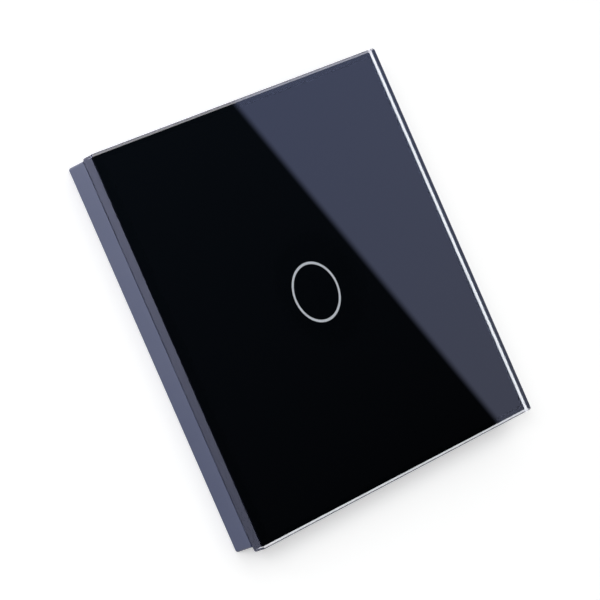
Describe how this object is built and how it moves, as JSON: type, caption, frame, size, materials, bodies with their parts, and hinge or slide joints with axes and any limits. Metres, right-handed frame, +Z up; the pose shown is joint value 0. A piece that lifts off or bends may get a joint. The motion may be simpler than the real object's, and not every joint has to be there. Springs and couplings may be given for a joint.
{
  "type": "smart light switch",
  "caption": "In-wall touch light switch: square black glass panel with a ring, slim dark frame, steel mounting plate, and a rear housing with relay, boards and screw terminals.",
  "frame": {"origin": "middle of the wall screw pattern, on the wall's face (back of the mounting plate)", "axes": "X right, Z up, Y into the wall; the glass faces -Y"},
  "size_m": [0.08, 0.0319, 0.08],
  "materials": {
    "clear_glass": "polished, ground back edges",
    "black_ink": "screen print seen through glass",
    "ring_ink": "translucent ink",
    "foam_tape": "closed-cell foam",
    "frame_plastic": "fine satin moulded",
    "spring_steel": "rolled strip",
    "zinc_plate": "zinc plated",
    "carrier_plastic": "fine moulded",
    "screw_steel": "zinc plated screw",
    "circuit_board": "solder mask",
    "pad_foam": "conductive foam",
    "guide_plastic": "milky light guide",
    "lamp_resin": "clear resin",
    "chip_resin": "moulded epoxy",
    "tan_ceramic": "fired ceramic",
    "switch_steel": "stamped cover",
    "plunger_plastic": "moulded",
    "can_steel": "tinned sheet",
    "header_plastic": "moulded",
    "gold_pins": "gold flashed",
    "relay_blue": "moulded case",
    "relay_black": "moulded",
    "copper_wire": "enamelled copper",
    "soft_iron": "nickel plated",
    "contact_bronze": "rolled bronze",
    "ferrite": "sintered ferrite",
    "sleeve_black": "shrink sleeve",
    "film_yellow": "potted box",
    "varistor_blue": "dipped epoxy",
    "fuse_white": "ceramic tube",
    "terminal_grey": "moulded",
    "bus_brass": "tinned brass",
    "cage_steel": "zinc plated",
    "housing_plastic": "fine spark-eroded texture",
    "label_film": "blank silver film"
  },
  "bodies": {
    "base": {"mounting_plate": "zinc_plate", "touch_carrier": "carrier_plastic", "carrier_screws": "screw_steel", "touch_board": "circuit_board", "touch_board_screws": "screw_steel", "touch_pad": "pad_foam", "light_guide": "guide_plastic", "status_leds": "lamp_resin", "touch_chip": "chip_resin", "chip_capacitors": "tan_ceramic", "pairing_switch": "switch_steel", "wireless_module": "circuit_board", "shield_can": "can_steel", "link_header": "header_plastic", "link_pins": "gold_pins", "link_socket": "header_plastic", "power_board": "circuit_board", "bulk_capacitor": "sleeve_black", "output_capacitor": "sleeve_black", "film_capacitor": "film_yellow", "varistor": "varistor_blue", "fuse": "fuse_white", "inductor": "sleeve_black", "transformer_bobbin": "relay_black", "transformer_core": "ferrite", "transformer_winding": "copper_wire", "converter_chip": "chip_resin", "rectifier": "chip_resin", "relay_base": "relay_black", "relay_case": "relay_blue", "relay_bobbin": "relay_black", "relay_winding": "copper_wire", "relay_yoke": "soft_iron", "relay_fixed_contact": "contact_bronze", "relay_pins": "gold_pins", "terminal_block": "terminal_grey", "busbars": "bus_brass", "rear_housing": "housing_plastic", "rear_label": "label_film"},
    "panel": {"glass_panel": "clear_glass", "black_print": "black_ink", "ring_window": "ring_ink", "adhesive_gasket": "foam_tape", "panel_frame": "frame_plastic", "retaining_clips": "spring_steel"},
    "pairing_plunger": {"pairing_plunger": "plunger_plastic"},
    "relay_armature": {"relay_armature": "soft_iron", "relay_contact_leaf": "contact_bronze"},
    "screw_neutral": {"screw_neutral": "screw_steel"},
    "cage_neutral": {"cage_neutral": "cage_steel"},
    "screw_line": {"screw_line": "screw_steel"},
    "cage_line": {"cage_line": "cage_steel"},
    "screw_load": {"screw_load": "screw_steel"},
    "cage_load": {"cage_load": "cage_steel"}
  },
  "joints": [
    {"name": "panel_release", "type": "slide", "parent": "base", "child": "panel", "axis": [0, -1, 0], "range_m": [0, 0.035], "deforming": ["retaining_clips"]},
    {"name": "turn_neutral", "type": "hinge", "parent": "base", "child": "screw_neutral", "pos_m": [-0.0085, 0.0165, -0.0191], "axis": [0, -1, 0], "range_deg": [0, 2521]},
    {"name": "lift_neutral", "type": "slide", "parent": "base", "child": "cage_neutral", "axis": [0, 1, 0], "range_m": [0, 0.0035]},
    {"name": "turn_line", "type": "hinge", "parent": "base", "child": "screw_line", "pos_m": [0, 0.0165, -0.0191], "axis": [0, -1, 0], "range_deg": [0, 2521]},
    {"name": "lift_line", "type": "slide", "parent": "base", "child": "cage_line", "axis": [0, 1, 0], "range_m": [0, 0.0035]},
    {"name": "turn_load", "type": "hinge", "parent": "base", "child": "screw_load", "pos_m": [0.0085, 0.0165, -0.0191], "axis": [0, -1, 0], "range_deg": [0, 2521]},
    {"name": "lift_load", "type": "slide", "parent": "base", "child": "cage_load", "axis": [0, 1, 0], "range_m": [0, 0.0035]},
    {"name": "press_pairing", "type": "slide", "parent": "base", "child": "pairing_plunger", "axis": [0, 1, 0], "range_m": [0, 0.0002], "stiffness_N_per_m": 400},
    {"name": "relay_pull", "type": "hinge", "parent": "base", "child": "relay_armature", "pos_m": [-0.01415, 0.0157, 0.0078], "axis": [-1, 0, 0], "range_deg": [0, 2.8], "stiffness_Nm_per_rad": 0.02}
  ],
  "couplings": [
    {"joint": "turn_neutral", "follows": "lift_neutral", "rad_per_m": 12566},
    {"joint": "turn_line", "follows": "lift_line", "rad_per_m": 12566},
    {"joint": "turn_load", "follows": "lift_load", "rad_per_m": 12566}
  ]
}
